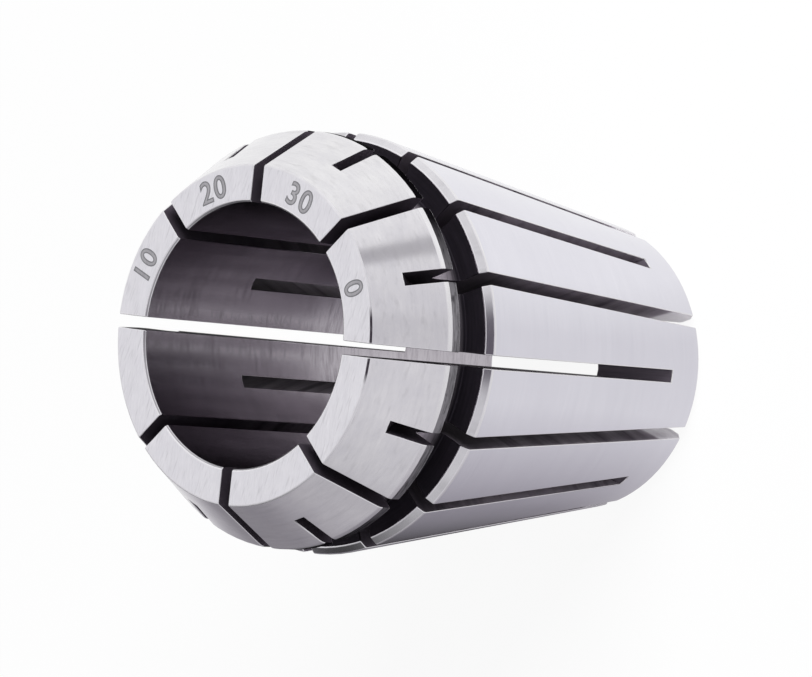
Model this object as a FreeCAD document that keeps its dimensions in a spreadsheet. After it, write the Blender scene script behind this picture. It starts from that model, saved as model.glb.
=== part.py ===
"""Spring collet for a 16 mm shank: one turned, ground and slotted piece of hardened steel.

The part stands on its small rear end: origin at the centre of the rear face, +Z along the bore
to the wide front face. Lengths are in millimetres and angles in degrees.
"""
import FreeCAD, Part
import math
import os

import Sketcher

NODE = "collet"

# The driving dimensions, each under its own name in the sheet.
SIZES = {
    "overall_length": 34.0,       # rear face to front face
    "bore_diameter": 16.0,        # the shank that the collet grips
    "bore_chamfer": 0.2,          # at both mouths of the bore
    "face_width": 2.265,          # flat front face, from the bore to the nose cone
    "nose_angle": 30.0,           # nose cone, from the axis, where the nut presses
    "nose_length": 5.2,           # front face to the front wall of the groove
    "rim_width": 0.9,             # cylindrical land between the nose cone and the groove
    "groove_width": 2.6,          # groove that the nut's ring pulls on
    "groove_depth": 1.7,          # from the rim to the floor of the groove
    "shoulder_drop": 0.43,        # chamfer at the wide end of the body, across the axis
    "shoulder_length": 0.4,       # the same chamfer, along the axis
    "rear_wall": 1.374,           # bore to body cone at the rear face; makes the wide end 26 mm
    "taper_angle": 8.0,           # body cone, from the axis, where the holder presses
    "rear_chamfer": 0.6,          # outer edge of the rear face
    "face_edge_radius": 0.15,     # front face to nose cone
    "rim_edge_radius": 0.7,       # nose cone to rim
    "shoulder_radius": 0.5,       # shoulder chamfer to body cone
    "slot_count": 8,              # cut from each end, so twice as many in all
    "slot_width": 0.8,            # thickness of the slitting saw
    "saw_radius": 31.5,           # the saw leaves its own curve at the closed end of a slot
    "front_overcut": 1.0,         # how far the saw passes the bore wall, in the front slots
    "rear_overcut": 1.95,         # the same, in the rear slots
    "rear_land": 3.9,             # rear face to the closed end of a front slot, on the body
    "front_land": 2.0,            # front face to the closed end of a rear slot, on the nose
    "saw_clearance": 2.0,         # how far the saw's path runs clear of the steel
}

# What follows from the sizes, as formulas of the sheet's names, from the bore outwards.
BORE_RADIUS = "(sizes.bore_diameter / 2)"
MOUTH_RADIUS = f"({BORE_RADIUS} + sizes.bore_chamfer)"
FACE_RADIUS = f"({BORE_RADIUS} + sizes.face_width)"
CONE_LENGTH = "(sizes.nose_length - sizes.rim_width)"
RIM_RADIUS = f"({FACE_RADIUS} + {CONE_LENGTH} * tan(sizes.nose_angle))"
GROOVE_RADIUS = f"({RIM_RADIUS} - sizes.groove_depth)"
GROOVE_HEIGHT = "(sizes.overall_length - sizes.nose_length - sizes.groove_width)"
TAPER_LENGTH = f"({GROOVE_HEIGHT} - sizes.shoulder_length)"
REAR_RADIUS = f"({BORE_RADIUS} + sizes.rear_wall)"
TAPER_RADIUS = f"({REAR_RADIUS} + {TAPER_LENGTH} * tan(sizes.taper_angle))"
PATH_RADIUS = f"(max({RIM_RADIUS}; {TAPER_RADIUS}) + sizes.saw_clearance)"
RADIUS_AT_REAR_LAND = f"({REAR_RADIUS} + sizes.rear_land * tan(sizes.taper_angle))"
RADIUS_AT_FRONT_LAND = f"({FACE_RADIUS} + sizes.front_land * tan(sizes.nose_angle))"

# How the sketcher numbers the points of an element, and its own origin and flat axis.
START, END, CENTRE = 1, 2, 3
ORIGIN = (-1, 1)
FLAT_AXIS = -1
VOLUME_MATCH = 1e-4


def make_sheet(doc):
    """The sheet of driving dimensions, one row each, with the name as the alias."""
    sheet = doc.addObject("Spreadsheet::Sheet", "sizes")
    for row, (name, value) in enumerate(SIZES.items(), start=1):
        sheet.set(f"A{row}", name)
        sheet.set(f"B{row}", str(value))
        sheet.setAlias(f"B{row}", name)
    doc.recompute()


def now(body, formula):
    """The number that a formula of the sheet's names gives."""
    result = body.evalExpression(formula)
    return float(getattr(result, "Value", result))


def origin_part(body, role):
    """One of the body's own origin planes or axes, such as XZ_Plane or Z_Axis."""
    return next(part for part in body.Origin.OriginFeatures if part.Role == role)


def new_sketch(body, name, plane):
    """A sketch that lies on one of the body's origin planes."""
    sketch = body.newObject("Sketcher::SketchObject", name)
    sketch.AttachmentSupport = (origin_part(body, plane), "")
    sketch.MapMode = "FlatFace"
    return sketch


def constrain(sketch, kind, *points):
    """A constraint with no dimension, such as Horizontal."""
    sketch.addConstraint(Sketcher.Constraint(kind, *points))


def drive(sketch, kind, name, formula, *points):
    """A named dimension of the sketch that a formula of the sheet drives."""
    value = now(sketch, formula)
    if kind == "Angle":
        value = math.radians(value)
    index = sketch.addConstraint(Sketcher.Constraint(kind, *points, value))
    sketch.renameConstraint(index, name)
    sketch.setExpression(f"Constraints.{name}", formula)


def round_corner(sketch, line, name, formula):
    """A driven radius at the end of a line. The sharp corner stays, for the dimensions on it."""
    arc = sketch.GeometryCount
    sketch.fillet(line, END, now(sketch, formula), True, True)
    drive(sketch, "Radius", name, formula, arc)


def profile_corners(body):
    """The turned profile's corners as (radius, height), with the sizes as they are now."""
    bevel_radius = f"({REAR_RADIUS} + sizes.rear_chamfer * tan(sizes.taper_angle))"
    corners = (
        (BORE_RADIUS, "sizes.bore_chamfer"),
        (MOUTH_RADIUS, "0"),
        (f"{bevel_radius} - sizes.rear_chamfer", "0"),
        (bevel_radius, "sizes.rear_chamfer"),
        (TAPER_RADIUS, TAPER_LENGTH),
        (f"{TAPER_RADIUS} - sizes.shoulder_drop", GROOVE_HEIGHT),
        (GROOVE_RADIUS, GROOVE_HEIGHT),
        (GROOVE_RADIUS, f"{GROOVE_HEIGHT} + sizes.groove_width"),
        (RIM_RADIUS, f"{GROOVE_HEIGHT} + sizes.groove_width"),
        (RIM_RADIUS, f"sizes.overall_length - {CONE_LENGTH}"),
        (FACE_RADIUS, "sizes.overall_length"),
        (MOUTH_RADIUS, "sizes.overall_length"),
        (BORE_RADIUS, "sizes.overall_length - sizes.bore_chamfer"),
    )
    return [FreeCAD.Vector(now(body, radius), now(body, height), 0) for radius, height in corners]


def draw_profile(body):
    """The half section of the turned ring, from the bore round the outside and back."""
    sketch = new_sketch(body, "turned_profile", "XZ_Plane")
    corners = profile_corners(body)
    ends = corners[1:] + corners[:1]
    lines = [sketch.addGeometry(Part.LineSegment(*pair)) for pair in zip(corners, ends)]
    for line, following in zip(lines, lines[1:] + lines[:1]):
        constrain(sketch, "Coincident", line, END, following, START)
    (rear_mouth, rear_face, rear_bevel, taper, shoulder, groove_rear, groove_floor,
     groove_front, rim, nose, front_face, front_mouth, bore) = lines
    for line in (rear_face, groove_rear, groove_front, front_face):
        constrain(sketch, "Horizontal", line)
    for line in (groove_floor, rim, bore):
        constrain(sketch, "Vertical", line)
    constrain(sketch, "PointOnObject", rear_face, START, FLAT_AXIS)

    across, along = "DistanceX", "DistanceY"
    for kind, name, formula, *points in (
        (across, "bore_radius", BORE_RADIUS, *ORIGIN, bore, START),
        (across, "face_width", "sizes.face_width", bore, START, nose, END),
        (across, "groove_depth", "sizes.groove_depth", groove_floor, START, rim, START),
        (across, "taper_radius", TAPER_RADIUS, *ORIGIN, taper, END),
        (across, "shoulder_drop", "sizes.shoulder_drop", shoulder, END, shoulder, START),
        (across, "rear_chamfer_x", "sizes.rear_chamfer", rear_bevel, START, rear_bevel, END),
        (across, "rear_mouth_x", "sizes.bore_chamfer", rear_mouth, START, rear_mouth, END),
        (across, "front_mouth_x", "sizes.bore_chamfer", front_mouth, END, front_mouth, START),
        (along, "overall_length", "sizes.overall_length", *ORIGIN, front_face, START),
        (along, "nose_length", "sizes.nose_length", groove_front, END, front_face, START),
        (along, "rim_width", "sizes.rim_width", rim, START, rim, END),
        (along, "groove_width", "sizes.groove_width", groove_floor, START, groove_floor, END),
        (along, "shoulder_length", "sizes.shoulder_length", shoulder, START, shoulder, END),
        (along, "rear_chamfer_z", "sizes.rear_chamfer", rear_bevel, START, rear_bevel, END),
        (along, "rear_mouth_z", "sizes.bore_chamfer", rear_mouth, END, rear_mouth, START),
        (along, "front_mouth_z", "sizes.bore_chamfer", front_mouth, END, front_mouth, START),
        ("Angle", "taper_lean", "90 - sizes.taper_angle", taper),
        ("Angle", "nose_lean", "90 + sizes.nose_angle", nose),
    ):
        drive(sketch, kind, name, formula, *points)
    for line, name, radius in (
        (taper, "shoulder_edge", "sizes.shoulder_radius"),
        (rim, "rim_edge", "sizes.rim_edge_radius"),
        (nose, "face_edge", "sizes.face_edge_radius"),
    ):
        round_corner(sketch, line, name, radius)
    return sketch


def turn_blank(body):
    """The ring as it leaves the lathe: nose cone, rim, groove, long cone and bore."""
    sketch = draw_profile(body)
    blank = body.newObject("PartDesign::Revolution", "turned_blank")
    blank.Profile = sketch
    blank.ReferenceAxis = (sketch, ["V_Axis"])
    blank.Angle = 360.0
    body.Document.recompute()
    return blank


def draw_saw_path(body, end):
    """What the saw sweeps from one end: a straight run past the bore wall, then its own arc.

    The saw stops where its edge leaves the outside of the collet at the land, so a slot is
    longer on the bore side or on the outside as the real cut is.
    """
    front = end == "front"
    towards = -1 if front else 1
    floor = f"({BORE_RADIUS} - sizes.{end}_overcut)"
    if front:
        start = "sizes.overall_length + sizes.saw_clearance"
        land, surface = "sizes.rear_land", RADIUS_AT_REAR_LAND
    else:
        start = "-sizes.saw_clearance"
        land, surface = "(sizes.overall_length - sizes.front_land)", RADIUS_AT_FRONT_LAND
    run = f"sqrt(sizes.saw_radius ^ 2 - ({floor} + sizes.saw_radius - {surface}) ^ 2)"
    stop = f"{land} {'+' if front else '-'} {run}"

    low, high = now(body, floor), now(body, PATH_RADIUS)
    saw = now(body, "sizes.saw_radius")
    start_now, stop_now = now(body, start), now(body, stop)
    swing = math.acos((low + saw - high) / saw)
    edge_stop = stop_now + towards * saw * math.sin(swing)
    circle = Part.Circle(FreeCAD.Vector(low + saw, stop_now, 0), FreeCAD.Vector(0, 0, 1), saw)
    sweep = (math.pi, math.pi + swing) if front else (math.pi - swing, math.pi)
    arc_low, arc_high = (START, END) if front else (END, START)

    sketch = new_sketch(body, f"{end}_saw_path", "YZ_Plane")
    corners = [FreeCAD.Vector(x, y, 0) for x, y in (
        (low, start_now), (low, stop_now), (high, edge_stop), (high, start_now))]
    floor_line = sketch.addGeometry(Part.LineSegment(corners[0], corners[1]))
    arc = sketch.addGeometry(Part.ArcOfCircle(circle, *sweep))
    outer_line = sketch.addGeometry(Part.LineSegment(corners[2], corners[3]))
    start_line = sketch.addGeometry(Part.LineSegment(corners[3], corners[0]))
    constrain(sketch, "Tangent", floor_line, END, arc, arc_low)
    constrain(sketch, "Coincident", arc, arc_high, outer_line, START)
    constrain(sketch, "Coincident", outer_line, END, start_line, START)
    constrain(sketch, "Coincident", start_line, END, floor_line, START)
    constrain(sketch, "Vertical", floor_line)
    constrain(sketch, "Vertical", outer_line)
    constrain(sketch, "Horizontal", start_line)
    drive(sketch, "Radius", "saw_radius", "sizes.saw_radius", arc)
    drive(sketch, "DistanceX", "floor_radius", floor, *ORIGIN, floor_line, START)
    drive(sketch, "DistanceX", "path_radius", PATH_RADIUS, *ORIGIN, outer_line, START)
    drive(sketch, "DistanceY", "saw_stop", stop, *ORIGIN, arc, CENTRE)
    drive(sketch, "DistanceY", "saw_start", start, *ORIGIN, start_line, START)
    return sketch


def saw_slots(body, end):
    """One slot cut from this end through one wall of the ring, then repeated round the axis."""
    sketch = draw_saw_path(body, end)
    if end == "rear":
        half_pitch = "180 / sizes.slot_count"
        turned = FreeCAD.Rotation(FreeCAD.Vector(0, 1, 0), now(body, half_pitch))
        sketch.AttachmentOffset = FreeCAD.Placement(FreeCAD.Vector(), turned)
        sketch.setExpression("AttachmentOffset.Rotation.Angle", half_pitch)
    cut = body.newObject("PartDesign::Pocket", f"{end}_slot")
    cut.Profile = sketch
    cut.Type = "Length"
    cut.SideType = "Symmetric"
    cut.setExpression("Length", "sizes.slot_width")
    body.Document.recompute()
    ring = body.newObject("PartDesign::PolarPattern", f"{end}_slots")
    ring.Originals = [cut]
    ring.Axis = (origin_part(body, "Z_Axis"), [""])
    ring.Angle = 360.0
    ring.setExpression("Occurrences", "sizes.slot_count")
    body.Tip = ring
    body.Document.recompute()
    return cut, ring


def make_collet(doc):
    """The whole collet as one body."""
    body = doc.addObject("PartDesign::Body", NODE)
    body.Label = NODE
    steel = turn_blank(body).Shape.Volume
    count = now(body, "sizes.slot_count")
    for end in ("front", "rear"):
        cut, ring = saw_slots(body, end)
        first = steel - cut.Shape.Volume
        taken = steel - ring.Shape.Volume
        if first <= 0 or abs(taken - count * first) > VOLUME_MATCH * steel:
            raise RuntimeError(f"the {end} slots took {taken} mm3, and one slot takes {first}")
        steel = ring.Shape.Volume
    return body


def check(doc, body):
    """Stop before anything is written if a feature failed or the solid isn't sound."""
    for item in doc.Objects:
        if {"Invalid", "Error"} & set(item.State):
            raise RuntimeError(f"{item.Label} failed: {item.State}")
    shape = body.Shape
    if shape.isNull() or not shape.isValid() or len(shape.Solids) != 1:
        raise RuntimeError("the collet isn't one valid solid")


def main():
    """Build the collet and write its STEP file."""
    doc = FreeCAD.newDocument("spring_collet")
    make_sheet(doc)
    body = make_collet(doc)
    doc.recompute()
    check(doc, body)
    os.makedirs("parts", exist_ok=True)
    body.Shape.exportStep(os.path.join("parts", f"{NODE}.step"))
    box = body.Shape.BoundBox
    print(f"{NODE}: {box.XLength:.2f} x {box.YLength:.2f} x {box.ZLength:.2f} mm,"
          f" {body.Shape.Volume:.1f} mm3, {len(body.Shape.Faces)} faces")


main()
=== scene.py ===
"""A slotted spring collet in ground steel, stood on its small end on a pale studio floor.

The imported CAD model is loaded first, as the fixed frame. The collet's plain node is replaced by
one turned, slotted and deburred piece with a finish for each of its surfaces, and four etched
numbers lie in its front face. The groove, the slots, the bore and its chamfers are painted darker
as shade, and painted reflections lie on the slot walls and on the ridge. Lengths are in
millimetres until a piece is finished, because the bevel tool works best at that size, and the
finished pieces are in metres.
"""

import logging
import math
from collections.abc import Callable, Iterator
from contextlib import contextmanager
from dataclasses import dataclass, field, replace
from enum import Enum
from typing import NamedTuple

import bmesh
import bpy
from mathutils import Matrix, Vector


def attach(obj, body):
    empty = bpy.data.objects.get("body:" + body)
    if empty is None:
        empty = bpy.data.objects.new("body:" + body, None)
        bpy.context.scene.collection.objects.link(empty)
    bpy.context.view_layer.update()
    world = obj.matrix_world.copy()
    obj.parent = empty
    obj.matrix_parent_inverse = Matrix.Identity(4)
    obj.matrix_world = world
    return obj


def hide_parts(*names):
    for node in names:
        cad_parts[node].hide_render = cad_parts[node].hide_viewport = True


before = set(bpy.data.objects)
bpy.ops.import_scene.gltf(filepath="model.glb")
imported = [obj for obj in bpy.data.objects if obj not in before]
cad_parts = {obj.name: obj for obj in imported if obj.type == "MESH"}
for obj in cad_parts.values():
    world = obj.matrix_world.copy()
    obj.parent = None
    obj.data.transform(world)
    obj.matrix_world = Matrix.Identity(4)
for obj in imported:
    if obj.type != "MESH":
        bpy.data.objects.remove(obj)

LOG = logging.getLogger("collet")
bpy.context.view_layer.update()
NODE = "collet"
BODY = "root"
METRES = 0.001          # metres in a millimetre
NEAR = 1e-3             # millimetres within which two points are one
WELD = NEAR / 4         # millimetres within which doubles are merged

Colour = tuple[float, float, float]
Direction = tuple[float, float, float]
Piece = bpy.types.Object
Edge = bmesh.types.BMEdge
Material = bpy.types.Material
Tree = bpy.types.NodeTree
Socket = bpy.types.NodeSocket

WHITE: Colour = (1.0, 1.0, 1.0)
BLACK: Colour = (0.0, 0.0, 0.0)


class Finish(Enum):
    """The finishes of the steel, in the order of the collet's material slots."""

    FACE = 0        # end faces, ground in straight lines
    NOSE = 1        # nose cone, ground round the axis
    RIM = 2         # turned land between the nose and the groove
    GROOVE = 3      # groove, painted dark as shade
    SHOULDER = 4    # turned chamfers at both ends of the body
    TAPER = 5       # long cone, ground smooth
    BORE = 6        # honed bore
    SAWN = 7        # slot walls, painted dark as shade
    EDGE = 8        # deburred edges
    MOUTH = 9       # chamfers at the ends of the bore
    RUNOUT = 10     # curved ends of the slots
    RIDGE = 11      # rounded edge between the front face and the nose
    RADIUS = 12     # rounded edges of the rim and the shoulder


class Lay(Enum):
    """The direction that a tool left its lines in."""

    ROUND = "round"
    STRAIGHT = "straight"
    ALONG = "along"


class End(Enum):
    """The end of the collet that a saw enters from, and which way along the axis it lies."""

    FRONT = 1
    REAR = -1


def deselect_all() -> None:
    """Leave no object selected and none active."""
    for thing in list(bpy.context.selected_objects):
        thing.select_set(False)
    bpy.context.view_layer.objects.active = None


def pick(piece: Piece) -> None:
    """Make one object the only selected one, and the active one.

    Args:
        piece: the object that the next operators work on.
    """
    deselect_all()
    piece.select_set(True)
    bpy.context.view_layer.objects.active = piece


@contextmanager
def edit_mode(piece: Piece) -> Iterator[None]:
    """Open a piece in edit mode for the operators inside the block.

    Args:
        piece: the mesh object to edit.
    """
    pick(piece)
    bpy.ops.object.mode_set(mode="EDIT")
    try:
        yield
    finally:
        bpy.ops.object.mode_set(mode="OBJECT")


def select_edges(piece: Piece, wanted: Callable[[Edge], bool]) -> None:
    """Select the edges that a test picks, in edit mode, and deselect the rest.

    Args:
        piece: the mesh object that is in edit mode.
        wanted: the test that an edge passes.
    """
    mesh = bmesh.from_edit_mesh(piece.data)
    bpy.ops.mesh.select_all(action="DESELECT")
    bpy.ops.mesh.select_mode(type="EDGE")
    for edge in [edge for edge in mesh.edges if wanted(edge)]:
        edge.select_set(True)
    bmesh.update_edit_mesh(piece.data)


def select_vertices(piece: Piece, wanted: Callable[[Vector], bool]) -> None:
    """Select the vertices whose place passes a test, in edit mode, and deselect the rest.

    Args:
        piece: the mesh object that is in edit mode.
        wanted: the test that a vertex's place passes.
    """
    mesh = bmesh.from_edit_mesh(piece.data)
    bpy.ops.mesh.select_all(action="DESELECT")
    bpy.ops.mesh.select_mode(type="VERT")
    for vertex in mesh.verts:
        vertex.select_set(wanted(vertex.co))
    bmesh.update_edit_mesh(piece.data)


def close_up(piece: Piece) -> None:
    """Merge the doubles of a closed mesh, then turn its faces outwards.

    Args:
        piece: the mesh object to clean.
    """
    with edit_mode(piece):
        bpy.ops.mesh.select_all(action="SELECT")
        bpy.ops.mesh.remove_doubles(threshold=WELD)
        bpy.ops.mesh.normals_make_consistent(inside=False)


def apply_modifier(piece: Piece, kind: str, **settings: object) -> None:
    """Add a modifier to a piece, set it and apply it.

    Args:
        piece: the mesh object that is changed.
        kind: the modifier's type, as the add operator names it.
        settings: the modifier's properties.
    """
    pick(piece)
    bpy.ops.object.modifier_add(type=kind)
    modifier = piece.modifiers[-1]
    for name, value in settings.items():
        setattr(modifier, name, value)
    bpy.ops.object.modifier_apply(modifier=modifier.name)


def to_metres(piece: Piece) -> None:
    """Bring a finished piece from millimetres to metres, with its place in its mesh.

    Args:
        piece: the mesh object that was modelled in millimetres.
    """
    pick(piece)
    bpy.ops.object.transform_apply(location=True, rotation=True, scale=True)
    piece.data.transform(Matrix.Scale(METRES, 4))
    piece.data.update()


@dataclass(frozen=True)
class Corner:
    """A corner of the turned profile, and the surface that runs from it to the next corner."""

    radius: float
    height: float
    finish: Finish
    rounding: float = 0.0
    steps: int = 4                       # faces across the rounding
    rounded: Finish = Finish.RADIUS      # the rounding's own finish

    def holds(self, place: Vector) -> bool:
        """Tell whether a place lies on the ring that this corner turns."""
        off_ring = abs(math.hypot(place.x, place.y) - self.radius)
        return off_ring < NEAR and abs(place.z - self.height) < NEAR


@dataclass(frozen=True)
class SawCut:
    """One of the two sets of slots, cut by a disc saw that stops in the far end of the steel."""

    floor: float          # radius that the saw's teeth reach on the straight run
    land: float           # height at which the teeth leave the outside of the steel
    surface: float        # outside radius at that height
    enters: End
    first_turn: float     # from +X to the first slot, in degrees


@dataclass(frozen=True)
class DarkZone:
    """A space round the axis in which the broken edges are as dark as the surface beside them."""

    finish: Finish
    inner: float          # its radii
    outer: float
    low: float            # its heights
    high: float

    def holds(self, radius: float, height: float) -> bool:
        """Tell whether a place lies in the zone."""
        return self.inner < radius < self.outer and self.low < height < self.high


@dataclass
class SlottedCollet:
    """The collet's steel: a ring turned from its profile, then slotted from both ends.

    Heights are counted from the small rear face, and angles are in degrees.
    """

    finishes: dict[Finish, Material]
    overall_length: float = 34.0
    bore_radius: float = 8.0
    rear_mouth: float = 0.2              # chamfers at the ends of the bore
    front_mouth: float = 0.15
    face_width: float = 2.265            # from the bore to the sharp corner of the nose
    nose_angle: float = 30.0
    nose_length: float = 5.2             # from the front face to the groove, with the rim
    rim_width: float = 0.9
    groove_width: float = 2.6
    groove_depth: float = 1.7
    shoulder_drop: float = 0.43          # the chamfer at the wide end of the taper
    shoulder_length: float = 0.4
    rear_wall: float = 1.374             # from the bore to the taper, carried on to the rear face
    taper_angle: float = 8.0
    rear_chamfer: float = 0.6
    shoulder_rounding: float = 0.2
    groove_rounding: float = 0.12        # at the foot of each groove wall
    rim_rounding: float = 0.7
    face_rounding: float = 0.15
    slot_count: int = 8
    slot_width: float = 0.8
    saw_radius: float = 31.5
    saw_travel: float = 45.0             # straight run of the saw, past the end of the steel
    front_overcut: float = 1.0           # how far the teeth reach past the bore's wall
    rear_overcut: float = 1.95
    rear_land: float = 3.9               # what the slots from the front leave at the rear
    front_land: float = 2.0
    deburr: float = 0.06
    deburr_steps: int = 2
    divisions: int = 96                  # round the ring
    saw_divisions: int = 288             # round the saw
    saw_wall: float = 0.5                # a saw's face that looks across by more cuts a wall
    sharp_angle: float = 29.0            # an edge that turns by more than this is sharp
    # The bore's and the groove's darkness is painted shade, which their broken edges take too.
    dark_zones: tuple[DarkZone, ...] = (
        DarkZone(Finish.BORE, 7.5, 8.2, 0.25, 33.75),
        DarkZone(Finish.GROOVE, 10.9, 12.5, 26.1, 28.9),
        DarkZone(Finish.RIM, 12.6, 12.9, 28.85, 29.5),
    )
    cut_finishes: tuple[Finish, ...] = (Finish.SAWN, Finish.RUNOUT, Finish.EDGE)
    straight_finishes: tuple[Finish, ...] = (
        Finish.FACE, Finish.NOSE, Finish.TAPER, Finish.SHOULDER)
    name: str = "slotted_collet"
    corners: list[Corner] = field(init=False)

    def __post_init__(self) -> None:
        """Work out the profile from the sizes."""
        self.corners = self.profile()

    def taper_radius(self, height: float) -> float:
        """Give the radius of the long cone at a height."""
        return self.bore_radius + self.rear_wall + height * math.tan(math.radians(self.taper_angle))

    def nose_radius(self, height: float) -> float:
        """Give the radius of the nose cone at a height."""
        below = self.overall_length - height
        return self.bore_radius + self.face_width + below * math.tan(math.radians(self.nose_angle))

    def profile(self) -> list[Corner]:
        """List the sharp corners, from the rear end of the bore round the outside and back.

        Returns:
            The corners of the turned profile, in order.
        """
        bore, front = self.bore_radius, self.overall_length
        groove_end = front - self.nose_length
        groove_start = groove_end - self.groove_width
        taper_end = groove_start - self.shoulder_length
        cone_foot = groove_end + self.rim_width
        bevel = self.taper_radius(self.rear_chamfer)
        wide = self.taper_radius(taper_end)
        rim = self.nose_radius(cone_foot)
        floor = rim - self.groove_depth
        return [
            Corner(bore, self.rear_mouth, Finish.MOUTH),
            Corner(bore + self.rear_mouth, 0.0, Finish.FACE),
            Corner(bevel - self.rear_chamfer, 0.0, Finish.SHOULDER),
            Corner(bevel, self.rear_chamfer, Finish.TAPER),
            Corner(wide, taper_end, Finish.SHOULDER, self.shoulder_rounding, steps=5),
            Corner(wide - self.shoulder_drop, groove_start, Finish.GROOVE),
            Corner(floor, groove_start, Finish.GROOVE, self.groove_rounding, 3, Finish.GROOVE),
            Corner(floor, groove_end, Finish.GROOVE, self.groove_rounding, 3, Finish.GROOVE),
            Corner(rim, groove_end, Finish.RIM),
            Corner(rim, cone_foot, Finish.NOSE, self.rim_rounding, steps=6),
            Corner(bore + self.face_width, front, Finish.FACE, self.face_rounding,
                   rounded=Finish.RIDGE),
            Corner(bore + self.front_mouth, front, Finish.MOUTH),
            Corner(bore, front - self.front_mouth, Finish.BORE),
        ]

    def cuts(self) -> tuple[SawCut, SawCut]:
        """Set out the slots.

        Returns:
            The set from the front face and the set from the rear face, half a pitch round.
        """
        rear, front = self.rear_land, self.overall_length - self.front_land
        return (
            SawCut(self.bore_radius - self.front_overcut, rear, self.taper_radius(rear),
                   End.FRONT, 0.0),
            SawCut(self.bore_radius - self.rear_overcut, front, self.nose_radius(front),
                   End.REAR, 180 / self.slot_count),
        )

    def give_materials(self, piece: Piece) -> None:
        """Give a mesh one material slot for each finish, in order."""
        for finish in Finish:
            piece.data.materials.append(self.finishes[finish])

    def turned_angle(self, index: int) -> float:
        """Find how far the profile turns at a corner.

        Args:
            index: the corner's place in the profile.

        Returns:
            The turn in radians, always positive.
        """
        before, here = self.corners[index - 1], self.corners[index]
        after = self.corners[(index + 1) % len(self.corners)]
        run_in = Vector((here.radius - before.radius, here.height - before.height))
        run_out = Vector((after.radius - here.radius, after.height - here.height))
        return run_in.angle(run_out)

    def turn_blank(self) -> Piece:
        """Turn the ring: a circle extruded from corner to corner, closed and rounded.

        Returns:
            The blank, a closed mesh object in millimetres.
        """
        first = self.corners[0]
        deselect_all()
        bpy.ops.mesh.primitive_circle_add(
            vertices=self.divisions, radius=first.radius, fill_type="NOTHING",
            location=(0, 0, first.height))
        bpy.ops.object.transform_apply(location=True)
        blank = bpy.context.active_object
        blank.name = blank.data.name = self.name
        self.give_materials(blank)
        with edit_mode(blank):
            bpy.ops.mesh.select_all(action="SELECT")
            for before, here in zip(self.corners, self.corners[1:]):
                grow = here.radius / before.radius
                bpy.ops.mesh.extrude_region_move(
                    TRANSFORM_OT_translate={"value": (0, 0, here.height - before.height)})
                bpy.ops.transform.resize(value=(grow, grow, 1), center_override=(0, 0, 0))
            select_edges(blank, lambda edge: edge.is_boundary)
            bpy.ops.mesh.bridge_edge_loops()
        close_up(blank)
        self.lay_out_finishes(blank)
        self.round_rings(blank)
        return blank

    def lay_out_finishes(self, blank: Piece) -> None:
        """Give each face the finish of the profile run that it lies on.

        Args:
            blank: the turned ring, while its corners are sharp.
        """
        ends = self.corners[1:] + self.corners[:1]
        for face in blank.data.polygons:
            places = [blank.data.vertices[index].co for index in face.vertices]
            for here, after in zip(self.corners, ends):
                if all(here.holds(place) or after.holds(place) for place in places):
                    face.material_index = here.finish.value
                    break

    def round_rings(self, blank: Piece) -> None:
        """Round the rings of edges whose corner has a rounding.

        Args:
            blank: the turned ring.
        """
        for index, corner in enumerate(self.corners):
            if not corner.rounding:
                continue
            reach = corner.rounding * math.tan(self.turned_angle(index) / 2)
            with edit_mode(blank):
                select_edges(blank, lambda edge: all(corner.holds(end.co) for end in edge.verts))
                bpy.ops.mesh.bevel(
                    offset=reach, segments=corner.steps, affect="EDGES", clamp_overlap=False,
                    material=corner.rounded.value)

    def saw_blade(self, cut: SawCut) -> Piece:
        """Make the solid that one stroke of the saw sweeps.

        Args:
            cut: the set of slots that the stroke belongs to.

        Returns:
            A closed mesh object for a slot at +X.
        """
        side = cut.enters.value
        centre = cut.floor + self.saw_radius
        lift = math.sqrt(self.saw_radius ** 2 - (centre - cut.surface) ** 2)
        stop = cut.land + side * lift
        deselect_all()
        bpy.ops.mesh.primitive_circle_add(
            vertices=self.saw_divisions, radius=self.saw_radius, fill_type="NGON",
            location=(centre, -self.slot_width / 2, stop), rotation=(math.pi / 2, 0, 0))
        bpy.ops.object.transform_apply(location=True, rotation=True)
        blade = bpy.context.active_object
        with edit_mode(blade):
            select_vertices(blade, lambda place: (place.z - stop) * side > NEAR)
            bpy.ops.transform.translate(value=(0, 0, side * self.saw_travel))
            bpy.ops.mesh.select_mode(type="FACE")
            bpy.ops.mesh.select_all(action="SELECT")
            bpy.ops.mesh.extrude_region_move(
                TRANSFORM_OT_translate={"value": (0, self.slot_width, 0)})
        close_up(blade)
        self.give_materials(blade)
        for face in blade.data.polygons:
            finish = Finish.SAWN if abs(face.normal.y) > self.saw_wall else Finish.RUNOUT
            face.material_index = finish.value
        return blade

    def all_blades(self) -> Piece:
        """Set a blade at each slot of both sets and join them.

        Returns:
            One mesh object of separate closed blades.
        """
        blades = []
        for cut in self.cuts():
            model = self.saw_blade(cut)
            for index in range(self.slot_count):
                pick(model)
                bpy.ops.object.duplicate(linked=False)
                copy = bpy.context.active_object
                copy.rotation_euler.z = math.radians(
                    cut.first_turn + index * 360 / self.slot_count)
                bpy.ops.object.transform_apply(rotation=True)
                blades.append(copy)
            bpy.data.objects.remove(model)
        pick(blades[0])
        for blade in blades:
            blade.select_set(True)
        bpy.ops.object.join()
        return blades[0]

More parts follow.
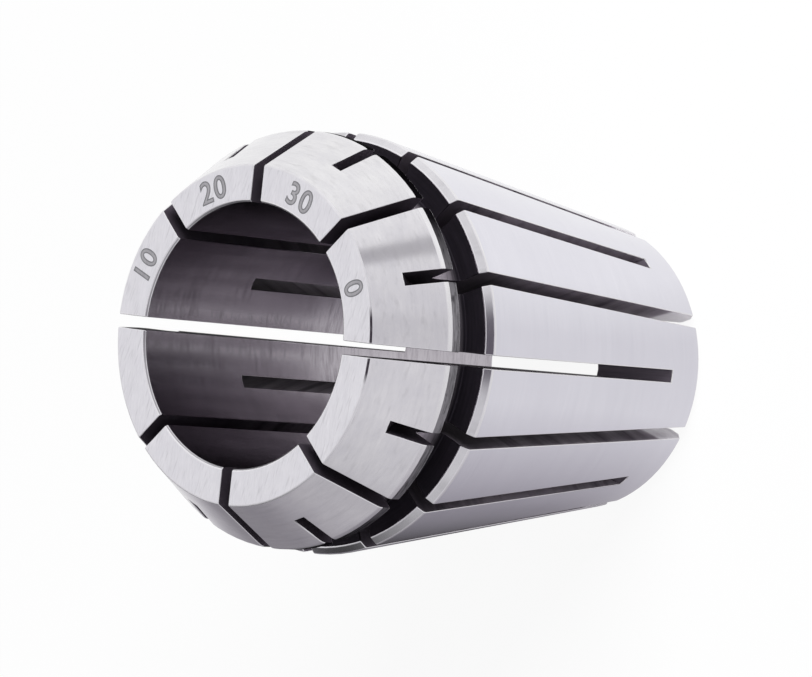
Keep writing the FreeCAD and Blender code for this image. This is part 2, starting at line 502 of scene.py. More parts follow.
    def slot_and_deburr(self, blank: Piece) -> None:
        """Cut all the slots, then break every sharp outer edge.

        Args:
            blank: the turned ring.
        """
        saws = self.all_blades()
        apply_modifier(
            blank, "BOOLEAN", operation="DIFFERENCE", solver="EXACT", object=saws,
            material_mode="INDEX")
        bpy.data.objects.remove(saws)
        close_up(blank)
        sharp_angle = math.radians(self.sharp_angle)
        with edit_mode(blank):
            mesh = bmesh.from_edit_mesh(blank.data)
            weight = mesh.edges.layers.float.new("bevel_weight_edge")
            for edge in mesh.edges:
                sharp = edge.calc_face_angle(0.0) > sharp_angle
                edge[weight] = 1.0 if sharp and edge.is_convex else 0.0
            bmesh.update_edit_mesh(blank.data)
        pick(blank)
        bpy.ops.object.shade_smooth_by_angle(angle=sharp_angle)
        apply_modifier(
            blank, "BEVEL", width=self.deburr, segments=self.deburr_steps, limit_method="WEIGHT",
            use_clamp_overlap=False, harden_normals=True, material=Finish.EDGE.value)

    def dull_edges(self, steel: Piece) -> None:
        """Give the broken edges inside the dark surfaces the finish of those surfaces, whose
        darkness is painted shade in the bore and the groove.

        Args:
            steel: the slotted piece, in millimetres.
        """
        for face in steel.data.polygons:
            if face.material_index != Finish.EDGE.value:
                continue
            radius, height = math.hypot(*face.center.xy), face.center.z
            for zone in self.dark_zones:
                if zone.holds(radius, height):
                    face.material_index = zone.finish.value

    def true_normals(self, steel: Piece) -> None:
        """Turn the corner normals of the turned surfaces to point straight from the axis.

        The long straight runs of the profile take the exact normal of their cone or plane.

        Args:
            steel: the slotted piece, in millimetres.
        """
        mesh = steel.data
        normals = [corner.vector.copy() for corner in mesh.corner_normals]
        cut = [finish.value for finish in self.cut_finishes]
        straight = [finish.value for finish in self.straight_finishes]
        for face in mesh.polygons:
            if face.material_index in cut:
                continue
            middle = face.center.copy()
            for index in face.loop_indices:
                place = mesh.vertices[mesh.loops[index].vertex_index].co
                out = Vector((place.x, place.y, 0)).normalized()
                if face.material_index in straight:
                    source, along = face.normal, Vector((middle.x, middle.y, 0))
                else:
                    source, along = normals[index], out
                flat = Vector((source.x, source.y, 0))
                side = math.copysign(flat.length, flat.dot(along))
                normals[index] = (out * side + Vector((0, 0, source.z))).normalized()
        mesh.normals_split_custom_set(normals)

    def build(self) -> Piece:
        """Make the slotted steel in place of the CAD node.

        Returns:
            The finished piece.
        """
        steel = self.turn_blank()
        self.slot_and_deburr(steel)
        self.dull_edges(steel)
        self.true_normals(steel)
        to_metres(steel)
        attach(steel, BODY)
        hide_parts(NODE)
        return steel


@dataclass(frozen=True)
class EtchedMark:
    """A plain number on one segment of the front face."""

    words: str
    azimuth: float        # from the near side towards +X, in degrees
    size: float = 1.95


@dataclass(frozen=True)
class Stroke:
    """One of the two solids that a mark is made of."""

    part: str
    bold: float           # how far the font's strokes are widened to each side
    proud: float          # how far the solid stands above the face


@dataclass
class EtchedMarks:
    """The row of etched marks round the front face."""

    face_height: float
    marks: tuple[EtchedMark, ...] = (
        EtchedMark("10", 157.5),
        EtchedMark("20", 112.5),
        EtchedMark("30", 67.5),
        EtchedMark("0", 22.5),
    )
    radius: float = 9.13
    depth: float = 0.05
    spacing: float = 1.15                # room for a letter, as a share of the font's own
    strokes: tuple[Stroke, ...] = (Stroke("edge", 0.06, 0.004), Stroke("middle", -0.015, 0.006))

    def solid(self, mark: EtchedMark, stroke: Stroke) -> Piece:
        """Make the strokes of a mark as a thin solid let into the face.

        Args:
            mark: the mark.
            stroke: which of its solids.

        Returns:
            The new solid, in millimetres.
        """
        turn = math.radians(mark.azimuth + 180)
        outward = Vector((-math.sin(turn), math.cos(turn)))
        deselect_all()
        bpy.ops.object.text_add(location=(0, 0, 0))
        text = bpy.context.active_object
        text.data.body = mark.words
        text.data.size = mark.size
        text.data.align_x, text.data.align_y = "CENTER", "CENTER"
        text.data.extrude = (self.depth + stroke.proud) / 2
        text.data.offset = stroke.bold
        text.data.space_character = self.spacing
        bpy.ops.object.convert(target="MESH")
        piece = bpy.context.active_object
        piece.rotation_euler.z = turn
        middle = self.face_height + (stroke.proud - self.depth) / 2
        piece.location = (*(outward * self.radius), middle)
        bpy.ops.object.transform_apply(location=True, rotation=True)
        close_up(piece)
        return piece

    def build(self, inks: tuple[Material, ...]) -> list[Piece]:
        """Make each mark as a dark outline round a paler middle.

        Args:
            inks: the materials of the outlines and of the middles.

        Returns:
            The finished marks.
        """
        made = []
        for number, mark in enumerate(self.marks, start=1):
            for stroke, ink in zip(self.strokes, inks):
                piece = self.solid(mark, stroke)
                piece.name = piece.data.name = f"etched_{stroke.part}_{number}"
                to_metres(piece)
                piece.data.materials.clear()
                piece.data.materials.append(ink)
                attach(piece, BODY)
                made.append(piece)
        return made


class Ramp(NamedTuple):
    """A range of some measure, and what its two ends become. Both ends are held beyond it."""

    low: float
    high: float
    to_low: float = 0.0
    to_high: float = 1.0


class Noise(NamedTuple):
    """The settings of a noise texture."""

    scale: float
    detail: float
    roughness: float


def opaque(colour: Colour) -> tuple[float, ...]:
    """Give a colour with full cover, as a socket takes it."""
    return (*colour, 1.0)


def shade(colour: Colour, share: float) -> Colour:
    """Darken a colour to a share of itself."""
    return tuple(share * part for part in colour)


class Bench:
    """Places shader nodes in one tree and joins them."""

    def __init__(self, tree: Tree) -> None:
        """Start on a tree."""
        self.tree = tree

    def put(self, kind: str, inputs: dict | None = None, **settings: object) -> bpy.types.Node:
        """Add a node.

        Args:
            kind: the node's type name.
            inputs: for each input by name or number, a value or the socket that feeds it.
            settings: the node's properties.

        Returns:
            The new node.
        """
        node = self.tree.nodes.new(kind)
        for name, value in settings.items():
            setattr(node, name, value)
        for name, value in (inputs or {}).items():
            self.feed(node.inputs[name], value)
        return node

    def feed(self, socket: Socket, value: object) -> None:
        """Join a socket to an input, or set the input to a value.

        Args:
            socket: the input.
            value: what it gets.
        """
        if isinstance(value, Socket):
            self.tree.links.new(value, socket)
        else:
            socket.default_value = value

    def place(self) -> Socket:
        """Give the Object coordinates."""
        return self.put("ShaderNodeTexCoord").outputs["Object"]

    def maths(self, operation: str, *values: object) -> Socket:
        """Add a Math node on numbers or sockets and give its result."""
        return self.put("ShaderNodeMath", dict(enumerate(values)), operation=operation).outputs[0]

    def times(self, first: object, second: object) -> Socket:
        """Multiply two numbers or sockets."""
        return self.maths("MULTIPLY", first, second)

    def total(self, *values: object) -> Socket:
        """Add up numbers or sockets.

        Args:
            values: two or more of them.

        Returns:
            The socket of their sum.
        """
        result = values[0]
        for value in values[1:]:
            result = self.maths("ADD", result, value)
        return result

    def vectors(self, operation: str, *values: object) -> Socket:
        """Add a Vector Math node.

        Args:
            operation: what it works out.
            values: vectors or sockets.

        Returns:
            Its result, which is a number for a length or a dot product.
        """
        node = self.put("ShaderNodeVectorMath", dict(enumerate(values)), operation=operation)
        return node.outputs["Value" if operation in ("LENGTH", "DOT_PRODUCT") else "Vector"]

    def cosine(self, way: Socket, aim: Direction) -> Socket:
        """Give the cosine of the angle between a direction and an aim."""
        return self.vectors("DOT_PRODUCT", way, Vector(aim).normalized())

    def split(self, vector: Socket) -> list[Socket]:
        """Take a vector apart into X, Y and Z."""
        return list(self.put("ShaderNodeSeparateXYZ", {0: vector}).outputs)

    def combine(self, *parts: object) -> Socket:
        """Make a vector of X, Y and Z."""
        return self.put("ShaderNodeCombineXYZ", dict(enumerate(parts))).outputs[0]

    def spread(self, value: Socket, ramp: Ramp) -> Socket:
        """Map a measure through a ramp.

        Args:
            value: the socket of the measure.
            ramp: its range and what the ends become.

        Returns:
            The mapped socket.
        """
        return self.put("ShaderNodeMapRange", {
            "Value": value, "From Min": ramp.low, "From Max": ramp.high,
            "To Min": ramp.to_low, "To Max": ramp.to_high}).outputs["Result"]

    def noise(self, where: Socket, scale: object, detail: float, roughness: float) -> Socket:
        """Add a noise texture.

        Args:
            where: the coordinates.
            scale: a number or a socket.
            detail: how many finer layers it has.
            roughness: how strong they are.

        Returns:
            The socket of its factor.
        """
        return self.put("ShaderNodeTexNoise", {
            "Vector": where, "Scale": scale, "Detail": detail,
            "Roughness": roughness}).outputs[0]

    def blend(self, share: object, first: object, second: object) -> Socket:
        """Mix two colours.

        Args:
            share: the second colour's share, a number or a socket.
            first: a colour or a socket.
            second: a colour or a socket.

        Returns:
            The socket of the mixed colour.
        """
        node = self.put("ShaderNodeMix", data_type="RGBA")
        for name, value in (("Factor_Float", share), ("A_Color", first), ("B_Color", second)):
            socket = next(item for item in node.inputs if item.identifier == name)
            self.feed(socket, opaque(value) if isinstance(value, tuple) else value)
        return next(item for item in node.outputs if item.identifier == "Result_Color")


def start_tree(owner: Material | bpy.types.World) -> Bench:
    """Give a new material or world an empty node tree.

    Args:
        owner: the material or world.

    Returns:
        A bench for its tree.
    """
    owner.use_nodes = True
    owner.node_tree.nodes.clear()
    return Bench(owner.node_tree)


class GroupBench(Bench):
    """Builds one shared shader node group, whose inputs and outputs are numbers."""

    def __init__(self, name: str, inputs: dict[str, float], outputs: tuple[str, ...]) -> None:
        """Start the group.

        Args:
            name: the group's name.
            inputs: each input's name and its usual value.
            outputs: each output's name.
        """
        super().__init__(bpy.data.node_groups.new(name, "ShaderNodeTree"))
        for title, value in inputs.items():
            self.add_socket(title, "INPUT").default_value = value
        for title in outputs:
            self.add_socket(title, "OUTPUT")
        start = self.put("NodeGroupInput")
        self.given = {title: start.outputs[title] for title in inputs}
        self.end = self.put("NodeGroupOutput")

    def add_socket(self, title: str, side: str) -> bpy.types.NodeTreeInterfaceSocket:
        """Add a number to one side of the group."""
        return self.tree.interface.new_socket(
            name=title, in_out=side, socket_type="NodeSocketFloat")

    def give(self, title: str, value: Socket) -> None:
        """Join a socket to one of the group's outputs."""
        self.tree.links.new(value, self.end.inputs[title])


@dataclass(frozen=True)
class ToolLines:
    """The fine lines that a tool leaves in one lay: noise that is drawn out along them."""

    lay: Lay
    fine: Noise = Noise(1.0, 5.0, 0.65)
    broad: Noise = Noise(0.17, 2.0, 0.5)
    nicks: Noise = Noise(1.0, 2.0, 0.5)
    contrast: Ramp = Ramp(0.3, 0.7)
    nick_contrast: Ramp = Ramp(0.56, 0.74)
    nick_size: tuple[float, ...] = (0.7, 0.8, 0.8)
    nick_lean: float = 1.6               # how far the nicks lean out of the lines
    usual_radius: float = 10.0           # where a ring has as many lines a millimetre as stated
    least_radius: float = 0.01

    def spot(self, bench: GroupBench) -> list[Socket]:
        """Stretch the place on the surface, so that noise in it runs along the lines.

        Args:
            bench: the bench of the group, with the inputs Across and Along.

        Returns:
            The three parts of the stretched place.
        """
        x, y, z = (bench.times(part, 1 / METRES) for part in bench.split(bench.place()))
        across, along = bench.given["Across"], bench.given["Along"]
        if self.lay is Lay.STRAIGHT:
            return [bench.times(x, along), bench.times(y, across), bench.times(z, across)]
        squares = bench.total(bench.times(x, x), bench.times(y, y))
        radius = bench.maths("MAXIMUM", bench.maths("SQRT", squares), self.least_radius)
        ring, up = (along, across) if self.lay is Lay.ROUND else (across, along)
        around = bench.times(ring, self.usual_radius)
        height = bench.times(z, up)
        if self.lay is Lay.ROUND:
            height = bench.total(height, bench.times(radius, up))
        return [bench.times(bench.maths("DIVIDE", x, radius), around),
                bench.times(bench.maths("DIVIDE", y, radius), around), height]

    def group(self) -> Tree:
        """Make the group.

        Returns:
            A group with the inputs Across and Along, in lines a millimetre, and the outputs
            Line, Broad and Scratch, from 0 to 1.
        """
        bench = GroupBench(f"tool_lines_{self.lay.value}", {"Across": 6.0, "Along": 0.3},
                           ("Line", "Broad", "Scratch"))
        spot = self.spot(bench)
        where = bench.combine(*spot)
        bench.give("Line", bench.spread(bench.noise(where, *self.fine), self.contrast))
        bench.give("Broad", bench.spread(bench.noise(where, *self.broad), self.contrast))
        lean = [bench.times(part, size) for part, size in zip(spot, self.nick_size)]
        lean[1] = bench.total(lean[1], bench.times(spot[0], self.nick_lean))
        nicks = bench.noise(bench.combine(*lean), *self.nicks)
        bench.give("Scratch", bench.spread(nicks, self.nick_contrast))
        return bench.tree


@dataclass(frozen=True)
class Grime:
    """Uneven film and small specks on any surface."""

    film: Ramp = Ramp(0.35, 0.68)
    speck: Ramp = Ramp(0.58, 0.74)
    detail: float = 3.0
    roughness: float = 0.6

    def group(self) -> Tree:
        """Make the group.

        Returns:
            A group with the inputs Film and Speck, in spots a millimetre, and outputs of the
            same names, from 0 to 1.
        """
        bench = GroupBench("oil_film", {"Film": 0.25, "Speck": 5.0}, ("Film", "Speck"))
        place = bench.place()
        for name, ramp in (("Film", self.film), ("Speck", self.speck)):
            scale = bench.times(bench.given[name], 1 / METRES)
            noise = bench.noise(place, scale, self.detail, self.roughness)
            bench.give(name, bench.spread(noise, ramp))
        return bench.tree


@dataclass(frozen=True)
class WearAndPaintedLight:
    """A side or an end of a surface with another colour, on most finishes painted light or shade.
    """

    colour: Colour
    way: Direction                 # where a side faces, or an end's weights of radius and height
    start: float                   # where it begins: a cosine, or for an end millimetres
    full: float                    # where it has its whole colour
    sided: bool = True             # True for a side of the ring, False for an end
    even: float = 0.35             # share of its colour in the troughs of the tool lines
    lines: tuple[float, float] = (0.15, 0.6)     # the lines' values for trough and crest

    def share(self, bench: Bench, mark: Socket) -> Socket:
        """Draw the mask of the patch.

        Args:
            bench: the bench of the material.
            mark: the tool lines.

        Returns:
            A socket from 0, without the patch, to 1, within it.
        """
        place = bench.place()
        flat = bench.vectors("MULTIPLY", place, (1, 1, 0))
        if self.sided:
            place = bench.vectors("NORMALIZE", flat)
        else:
            height = bench.split(place)[2]
            place = bench.combine(
                bench.maths("DIVIDE", bench.vectors("LENGTH", flat), METRES), 0.0,
                bench.maths("DIVIDE", height, METRES))
        along = bench.vectors("DOT_PRODUCT", place, self.way)
        mask = bench.spread(along, Ramp(self.start, self.full))
        return bench.times(mask, bench.spread(mark, Ramp(*self.lines, self.even, 1.0)))


@dataclass(frozen=True)
class Steel:
    """The look of one finish of the steel, with any painted light or shade in its colour."""

    name: str
    crest: Colour                  # colour between the tool lines
    trough: Colour                 # colour in the tool lines
    film: Colour                   # colour under the uneven film
    lay: Lay
    across: float = 6.0            # tool lines a millimetre
    along: float = 0.3
    smooth: float = 0.2            # roughness between the tool lines
    coarse: float = 0.3            # roughness in the tool lines
    relief: float = 0.001          # depth of the tool lines, in millimetres
    film_share: float = 0.3
    film_size: float = 0.25        # patches of film a millimetre
    specks: float = 0.0
    metallic: float = 1.0
    scratches: float = 0.0         # strength of the fine scratches
    rings: float = 0.0             # strength of fine lines round the axis
    grazing: float = 1.0           # strength of the reflection at a low angle
    wear_and_painted_light: tuple[WearAndPaintedLight, ...] = ()
    broad_share: float = 0.3       # share of the broad bands in the tool lines
    ring_along: float = 0.2        # how often a line round the axis changes, a millimetre
    ring_shade: float = 0.5        # colour in such a line, as a share of the trough's
    scratch_shade: float = 0.6     # colour in a scratch, as a share of the trough's

    def material(self, lines: dict[Lay, Tree], grime: Tree) -> Material:
        """Build the material.

        Args:
            lines: the group that draws each lay of tool lines.
            grime: the group that lays the film and the specks.

        Returns:
            The new material.
        """
        material = bpy.data.materials.new(self.name)
        bench = start_tree(material)
        line = bench.put("ShaderNodeGroup", node_tree=lines[self.lay])
        line.inputs["Across"].default_value = self.across
        line.inputs["Along"].default_value = self.along
        dirt = bench.put("ShaderNodeGroup", node_tree=grime)
        dirt.inputs["Film"].default_value = self.film_size
        mark = bench.total(bench.times(line.outputs["Line"], 1 - self.broad_share),
                           bench.times(line.outputs["Broad"], self.broad_share))
        colour = bench.blend(mark, self.trough, self.crest)
        colour = bench.blend(bench.times(dirt.outputs["Film"], self.film_share), colour, self.film)
        if self.specks:
            dots = bench.times(dirt.outputs["Speck"], self.specks)
            colour = bench.blend(dots, colour, self.film)
        if self.rings:
            turned = bench.put("ShaderNodeGroup", node_tree=lines[Lay.ROUND])
            turned.inputs["Along"].default_value = self.ring_along
            cuts = bench.times(turned.outputs["Line"], self.rings)
            colour = bench.blend(cuts, colour, shade(self.trough, self.ring_shade))
        if self.scratches:
            cuts = bench.times(line.outputs["Scratch"], self.scratches)
            colour = bench.blend(cuts, colour, shade(self.trough, self.scratch_shade))
            mark = bench.maths("SUBTRACT", mark, cuts)
        # Patches of painted light or shade, and the rim's paler side.
        for tone_patch in self.wear_and_painted_light:
            colour = bench.blend(tone_patch.share(bench, mark), colour, tone_patch.colour)
        rough = bench.spread(mark, Ramp(0.0, 1.0, self.coarse, self.smooth))
        bump = bench.put("ShaderNodeBump", {
            "Height": mark, "Distance": self.relief * METRES, "Strength": 1.0})
        shader = bench.put("ShaderNodeBsdfPrincipled", {
            "Base Color": colour, "Roughness": rough, "Metallic": self.metallic,
            "Specular Tint": opaque(shade(WHITE, self.grazing)), "Normal": bump.outputs[0]})
        bench.put("ShaderNodeOutputMaterial", {"Surface": shader.outputs[0]})
        return material


BRIGHT = Steel(
    "radius_bright", (0.90, 0.89, 0.91), (0.76, 0.75, 0.77), (0.7, 0.69, 0.72), Lay.ROUND,
    across=5.0, along=0.8, smooth=0.16, coarse=0.28, relief=0.001, film_share=0.2)
ETCHED = Steel(
    "etched_edge", (0.26, 0.26, 0.27), (0.16, 0.16, 0.17), (0.2, 0.2, 0.21), Lay.STRAIGHT,
    across=9.0, along=3.0, smooth=0.5, coarse=0.7, relief=0.003, metallic=0.5)
FINISHES: dict[Finish, Steel] = {
    Finish.FACE: Steel(
        "face_grind", (0.91, 0.90, 0.93), (0.75, 0.74, 0.77), (0.78, 0.77, 0.81), Lay.STRAIGHT,
        across=9.0, along=1.2, smooth=0.26, coarse=0.40, relief=0.002, film_share=0.5,
        film_size=1.1, scratches=0.33),
    Finish.NOSE: Steel(
        "nose_grind", (0.86, 0.85, 0.86), (0.75, 0.74, 0.76), (0.70, 0.69, 0.73), Lay.ROUND,
        across=10.0, along=0.7, smooth=0.11, coarse=0.18, relief=0.0009, film_share=0.4,
        film_size=0.7, specks=0.35, scratches=0.2),
    # The rim land is very dark, with a paler grey side towards the near side (-Y) and a weak
    # reflection at a low angle.
    Finish.RIM: Steel(
        "rim_turning", (0.030, 0.028, 0.032), (0.012, 0.011, 0.013), (0.015, 0.014, 0.016),
        Lay.ROUND, across=7.0, along=1.2, smooth=0.35, coarse=0.5, relief=0.003, grazing=0.2,
        scratches=0.5, wear_and_painted_light=(WearAndPaintedLight((0.29, 0.28, 0.30), (-0.28, -0.96, 0.0), 0.56, 0.88),)),
    # The groove is painted near-black as shade, with a weak reflection at a low angle; near the
    # rim, from 26.4 to 28.4 mm high, its own pale steel shows.
    Finish.GROOVE: Steel(
        "groove_painted_shade", (0.030, 0.026, 0.034), (0.012, 0.010, 0.014), (0.020, 0.017, 0.022),
        Lay.ROUND, across=6.0, along=0.4, smooth=0.35, coarse=0.55, relief=0.003, metallic=0.6,
        grazing=0.3, wear_and_painted_light=(WearAndPaintedLight((0.62, 0.56, 0.63), (0.0, 0.0, 1.0), 26.4, 28.4, False),)),
    Finish.SHOULDER: Steel(
        "shoulder_turning", (0.82, 0.815, 0.83), (0.66, 0.65, 0.67), (0.6, 0.59, 0.62),
        Lay.ROUND, across=8.0, along=0.6, smooth=0.13, coarse=0.22, relief=0.0015, specks=0.3,
        scratches=0.5),
    Finish.TAPER: Steel(
        "taper_grind", (0.79, 0.78, 0.84), (0.745, 0.735, 0.80), (0.68, 0.67, 0.735), Lay.ROUND,
        across=9.0, along=0.3, smooth=0.14, coarse=0.17, relief=0.0004, film_share=0.3,
        film_size=0.16, specks=0.14),
    # The honed bore is painted purple-grey as shade, with painted light on its +Y side.
    Finish.BORE: Steel(
        "bore_hone_painted_shade", (0.45, 0.41, 0.455), (0.33, 0.30, 0.335), (0.22, 0.20, 0.225), Lay.ROUND,
        across=3.5, along=0.5, smooth=0.16, coarse=0.26, relief=0.0006, film_share=0.4,
        film_size=0.5, specks=0.3, rings=0.2,
        wear_and_painted_light=(WearAndPaintedLight((0.56, 0.53, 0.57), (0.0, 1.0, 0.0), 0.84, 0.99),)),
    # The bore's chamfers are painted mid-grey as shade, darker than the ground steel beside them.
    Finish.MOUTH: Steel(
        "mouth_painted_shade", (0.60, 0.59, 0.61), (0.42, 0.41, 0.43), (0.35, 0.34, 0.36), Lay.ROUND,
        across=5.0, along=0.8, smooth=0.35, coarse=0.5, relief=0.001),
    # The slot walls are painted dark as shade, with a weak reflection at a low angle. The painted
    # shade eases to a paler grey below 20 to 27 mm high, and a near-white painted reflection lies
    # along their rear ends.
    Finish.SAWN: Steel(
        "saw_wall_painted_shade", (0.105, 0.088, 0.112), (0.060, 0.048, 0.064), (0.16, 0.14, 0.17),
        Lay.ALONG, across=1.5, along=0.6, smooth=0.4, coarse=0.6, relief=0.004, specks=0.6,
        metallic=0.7, grazing=0.25,
        wear_and_painted_light=(WearAndPaintedLight((0.42, 0.375, 0.43), (0.0, 0.0, -1.0), -27.0, -20.0, False, 0.2),
              WearAndPaintedLight((0.98, 0.96, 0.99), (-0.4, 0.0, -1.0), -7.4, -6.8, False, 0.7))),
    # The curved ends of the slots are painted dark as shade, with a weak reflection at a low angle.
    Finish.RUNOUT: Steel(
        "saw_runout_painted_shade", (0.11, 0.094, 0.115), (0.055, 0.045, 0.058), (0.08, 0.07, 0.085), Lay.ALONG,
        across=3.0, along=0.1, smooth=0.4, coarse=0.55, relief=0.003, metallic=0.7,
        grazing=0.4),
    Finish.EDGE: replace(
        BRIGHT, name="edge_bright", crest=(0.92, 0.91, 0.93), trough=(0.78, 0.77, 0.79)),
    # The ridge is bright steel, with a thin near-black painted reflection along it on the near side
    # (-Y).
    Finish.RIDGE: replace(
        BRIGHT, name="ridge_bright_painted_reflection", trough=(0.74, 0.73, 0.75), smooth=0.34, coarse=0.46,
        wear_and_painted_light=(WearAndPaintedLight((0.07, 0.06, 0.075), (0.03, -1.0, 0.0), 0.975, 0.988, even=0.8),)),
    Finish.RADIUS: BRIGHT,
}
ETCHING = (
    ETCHED,
    replace(ETCHED, name="etched_middle", crest=(0.52, 0.51, 0.53), trough=(0.34, 0.33, 0.35),
            film=(0.38, 0.37, 0.39), metallic=0.6),
)


@dataclass(frozen=True)
class StudioCamera:
    """The camera at the photograph's angle, turned so that the collet lies across the picture."""

    place: Direction = (4.431, -173.203, 222.904)        # in millimetres
    azimuth: float = 1.24112       # round the axis, from the near side towards +X, in degrees
    elevation: float = 49.67995
    roll: float = -84.88284
    lens: float = 189.43
    sensor: float = 36.0
    clip: tuple[float, float] = (0.01, 50.0)             # in metres

    def build(self) -> None:
        """Put the camera where the photograph was taken from."""
        data = bpy.data.cameras.new("studio_camera")
        data.lens, data.sensor_width = self.lens, self.sensor
        data.clip_start, data.clip_end = self.clip
        camera = bpy.data.objects.new("studio_camera", data)
        bpy.context.scene.collection.objects.link(camera)
        pose = Matrix.Translation(Vector(self.place) * METRES)
        for angle, axis in ((self.azimuth, "Z"), (90 - self.elevation, "X"), (self.roll, "Z")):
            pose @= Matrix.Rotation(math.radians(angle), 4, axis)
        camera.matrix_world = pose
        bpy.context.scene.camera = camera


@dataclass(frozen=True)
class Screen:
    """A round patch of the sky with a colour of its own, which the steel mirrors."""

    way: Direction                 # where it stands, seen from the collet
    reach: float                   # from its middle to the middle of its soft edge, in degrees
    share: float                   # how far its colour covers the sky's
    colour: Colour = (0.11, 0.095, 0.125)
    edge: float = 0.25             # half of the soft edge, as a share of the reach

    def cover(self) -> Ramp:
        """Give how far it covers the sky, over the cosine of the angle off its middle."""
        outer, inner = (math.cos(math.radians(self.reach * (1 + side * self.edge)))
                        for side in (1, -1))
        return Ramp(outer, inner, 0.0, self.share)


def seen_directly(bench: Bench) -> tuple[Socket, Socket]:
    """Tell the rays apart that reach a surface.

    Args:
        bench: the bench of a material or a world.

    Returns:
        A socket that is 1 for the camera and through glass, and one that is 1 in a mirror.
    """
    path = bench.put("ShaderNodeLightPath")
    seen = bench.maths("MAXIMUM", path.outputs["Is Camera Ray"],
                       path.outputs["Is Transmission Ray"])
    return seen, path.outputs["Is Glossy Ray"]


@dataclass(frozen=True)
class Sky:
    """The soft sky: plain white to the camera, a dim light, and uneven in the steel's mirror."""

    ambient: Colour = (0.26, 0.26, 0.27)
    dim: Colour = (0.76, 0.75, 0.78)
    bright: Colour = (1.0, 0.995, 1.01)
    bright_way: Direction = (0.742, 0.636, 0.212)
    bright_ramp: Ramp = Ramp(-0.2, 0.8)                # over the cosine off that way
    dusk_way: Direction = (-0.860, 0.500, 0.100)
    dusk_core: Ramp = Ramp(8, 52, 0.08, 0.87)          # degrees off that way, and light left
    dusk_skirt: Ramp = Ramp(52, 90, 0.0, 0.13)
    screens: tuple[Screen, ...] = (
        Screen((0.09, -0.72, 0.688), 15.0, 0.96),
        Screen((0.78, -0.617, 0.10), 4.5, 0.55),
        Screen((0.17, -0.97, 0.17), 9.0, 0.14),
        Screen((-0.45, 0.80, 0.40), 20.0, 1.0, (0.95, 0.94, 0.96)),
    )

    def mirrored(self, bench: Bench) -> Socket:
        """Colour the sky that the steel mirrors.

        Args:
            bench: the bench of the world.

        Returns:
            The socket of its colour.
        """
        way = bench.put("ShaderNodeTexCoord").outputs["Generated"]
        bright = bench.spread(bench.cosine(way, self.bright_way), self.bright_ramp)
        colour = bench.blend(bright, self.dim, self.bright)
        angle = bench.maths("DEGREES", bench.maths("ARCCOSINE", bench.cosine(way, self.dusk_way)))
        light = bench.total(bench.spread(angle, self.dusk_core),
                            bench.spread(angle, self.dusk_skirt))
        colour = bench.blend(light, BLACK, colour)
        for screen in self.screens:
            cover = bench.spread(bench.cosine(way, screen.way), screen.cover())
            colour = bench.blend(cover, colour, screen.colour)
        return colour

    def build(self) -> None:
        """Light the scene from the sky."""
        world = bpy.data.worlds.new("studio_world")
        bench = start_tree(world)
        mirrored, dim, white = (
            bench.put("ShaderNodeBackground", {"Color": colour, "Strength": 1.0}).outputs[0]
            for colour in (self.mirrored(bench), opaque(self.ambient), opaque(WHITE)))
        seen, glossy = seen_directly(bench)
        lit = bench.put("ShaderNodeMixShader", {0: glossy, 1: dim, 2: mirrored})
        mix = bench.put("ShaderNodeMixShader", {0: seen, 1: lit.outputs[0], 2: white})
        bench.put("ShaderNodeOutputWorld", {"Surface": mix.outputs[0]})
        bpy.context.scene.world = world


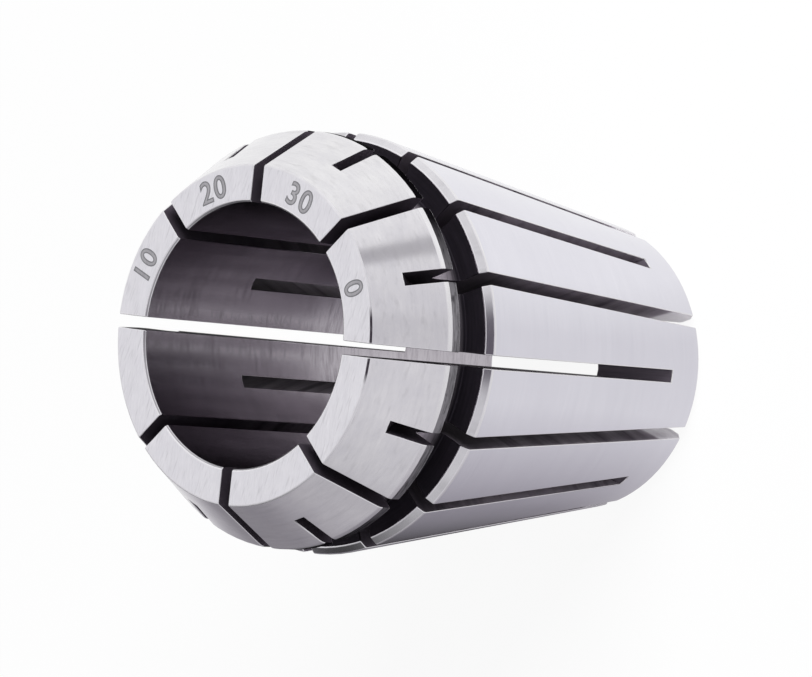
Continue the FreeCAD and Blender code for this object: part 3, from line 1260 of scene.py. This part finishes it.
@dataclass(frozen=True)
class Floor:
    """The plain pale floor, which glows by a different amount on each side in the steel.

    That glow is a sum of ramps. Most are over the turn round the axis in degrees: 0 on the near
    side, 90 at -X, 180 behind and -90 at +X. A reach is in metres from the axis.
    """

    size: float = 12.0
    colour: Colour = (0.88, 0.88, 0.885)
    camera_white: float = 0.92                         # share of white that the camera sees
    mirror_share: float = 0.95                         # share of glow that the steel mirrors
    near_side: Ramp = Ramp(20, 90, 0.82, 0.28)
    light_side: Ramp = Ramp(-45, -15, 0.16, 0.0)
    far_side: Ramp = Ramp(120, 138)
    far_edge: Ramp = Ramp(-0.045, -0.016, 0.0, 0.56)   # over x in metres, on the far side
    foot_reach: Ramp = Ramp(0.030, 0.060)
    foot_shade: Ramp = Ramp(92, 125, 0.0, -0.24)       # only within the foot's reach
    foot_join: Ramp = Ramp(-180, -166, -0.14, 0.0)
    behind: Ramp = Ramp(120, 148)                      # where the foot's shade ends
    outer_reach: Ramp = Ramp(0.10, 0.18)
    outer_rise: Ramp = Ramp(50, 85, 0.0, 0.25)         # only past the outer reach
    outer_fall: Ramp = Ramp(92, 128, 0.0, -0.30)
    dull_tint: Colour = (0.955, 0.905, 1.0)            # where it glows least
    tint_ramp: Ramp = Ramp(0.3, 0.9)

    def glow(self, bench: Bench) -> Socket:
        """Work out how far each place glows in a mirror.

        Args:
            bench: the bench of the floor's material.

        Returns:
            The socket of its strength.
        """
        place = bench.place()
        x, y, _ = bench.split(place)
        turn = bench.maths("DEGREES", bench.maths(
            "ARCTAN2", bench.times(x, -1.0), bench.times(y, -1.0)))
        reach = bench.vectors("LENGTH", place)
        clear = bench.maths("MAXIMUM", bench.spread(reach, self.foot_reach),
                            bench.spread(turn, self.behind))
        far = bench.times(bench.spread(turn, self.far_side), bench.spread(x, self.far_edge))
        foot = bench.total(bench.spread(turn, self.foot_shade), bench.spread(turn, self.foot_join))
        outer = bench.total(bench.spread(turn, self.outer_rise),
                            bench.spread(turn, self.outer_fall))
        return bench.total(
            bench.spread(turn, self.near_side), bench.spread(turn, self.light_side),
            bench.times(far, clear), bench.times(bench.maths("SUBTRACT", 1.0, clear), foot),
            bench.times(bench.spread(reach, self.outer_reach), outer))

    def build(self) -> None:
        """Lay the floor that the collet stands on."""
        deselect_all()
        bpy.ops.mesh.primitive_plane_add(size=self.size)
        floor = bpy.context.active_object
        floor.name = "studio_floor"
        material = bpy.data.materials.new("pale_floor")
        bench = start_tree(material)
        seen, glossy = seen_directly(bench)
        share = bench.total(bench.times(seen, self.camera_white),
                            bench.times(glossy, self.mirror_share))
        matt = bench.put("ShaderNodeBsdfDiffuse", {"Color": opaque(self.colour)})
        strength = self.glow(bench)
        tint = bench.blend(bench.spread(strength, self.tint_ramp), self.dull_tint, WHITE)
        glow = bench.put("ShaderNodeEmission", {
            "Color": bench.blend(seen, tint, WHITE),
            "Strength": bench.maths("MAXIMUM", strength, seen)})
        mix = bench.put("ShaderNodeMixShader", {0: share, 1: matt.outputs[0], 2: glow.outputs[0]})
        bench.put("ShaderNodeOutputMaterial", {"Surface": mix.outputs[0]})
        floor.data.materials.append(material)


@dataclass(frozen=True)
class Lamp:
    """A square soft lamp that faces the collet and isn't mirrored in it."""

    name: str
    place: Direction               # in metres
    size: float                    # its side, in metres
    power: float                   # in watts
    aim: Direction = (0.0, 0.0, 0.017)

    def build(self) -> None:
        """Hang the lamp."""
        data = bpy.data.lights.new(self.name, "AREA")
        data.size, data.energy = self.size, self.power
        lamp = bpy.data.objects.new(self.name, data)
        bpy.context.scene.collection.objects.link(lamp)
        lamp.location = self.place
        facing = Vector(self.aim) - Vector(self.place)
        lamp.rotation_euler = facing.to_track_quat("-Z", "Y").to_euler()
        lamp.visible_glossy = False


@dataclass(frozen=True)
class Studio:
    """The camera, the sky, the floor and the lamps."""

    camera: StudioCamera = StudioCamera()
    sky: Sky = Sky()
    floor: Floor = Floor()
    lamps: tuple[Lamp, ...] = (
        Lamp("key_softbox", (0.42, -0.20, 0.27), 0.35, 4.6),
        Lamp("fill_softbox", (-0.2, -0.5, 0.5), 0.5, 0.8),
    )

    def build(self) -> None:
        """Set up the whole studio."""
        for part in (self.camera, self.sky, self.floor, *self.lamps):
            part.build()
        bpy.context.scene.view_settings.view_transform = "Standard"


def main() -> None:
    """Build the studio and the collet, and report each piece."""
    logging.basicConfig(level=logging.INFO, format="%(name)s: %(message)s")
    Studio().build()
    lines = {lay: ToolLines(lay).group() for lay in Lay}
    grime = Grime().group()
    collet = SlottedCollet({finish: steel.material(lines, grime)
                            for finish, steel in FINISHES.items()})
    pieces = [collet.build()]
    inks = tuple(ink.material(lines, grime) for ink in ETCHING)
    pieces += EtchedMarks(collet.overall_length).build(inks)
    for piece in pieces:
        LOG.info("%s: %d faces, %s mm", piece.name, len(piece.data.polygons),
                 [round(side / METRES, 3) for side in piece.dimensions])


if __name__ == "__main__":
    main()
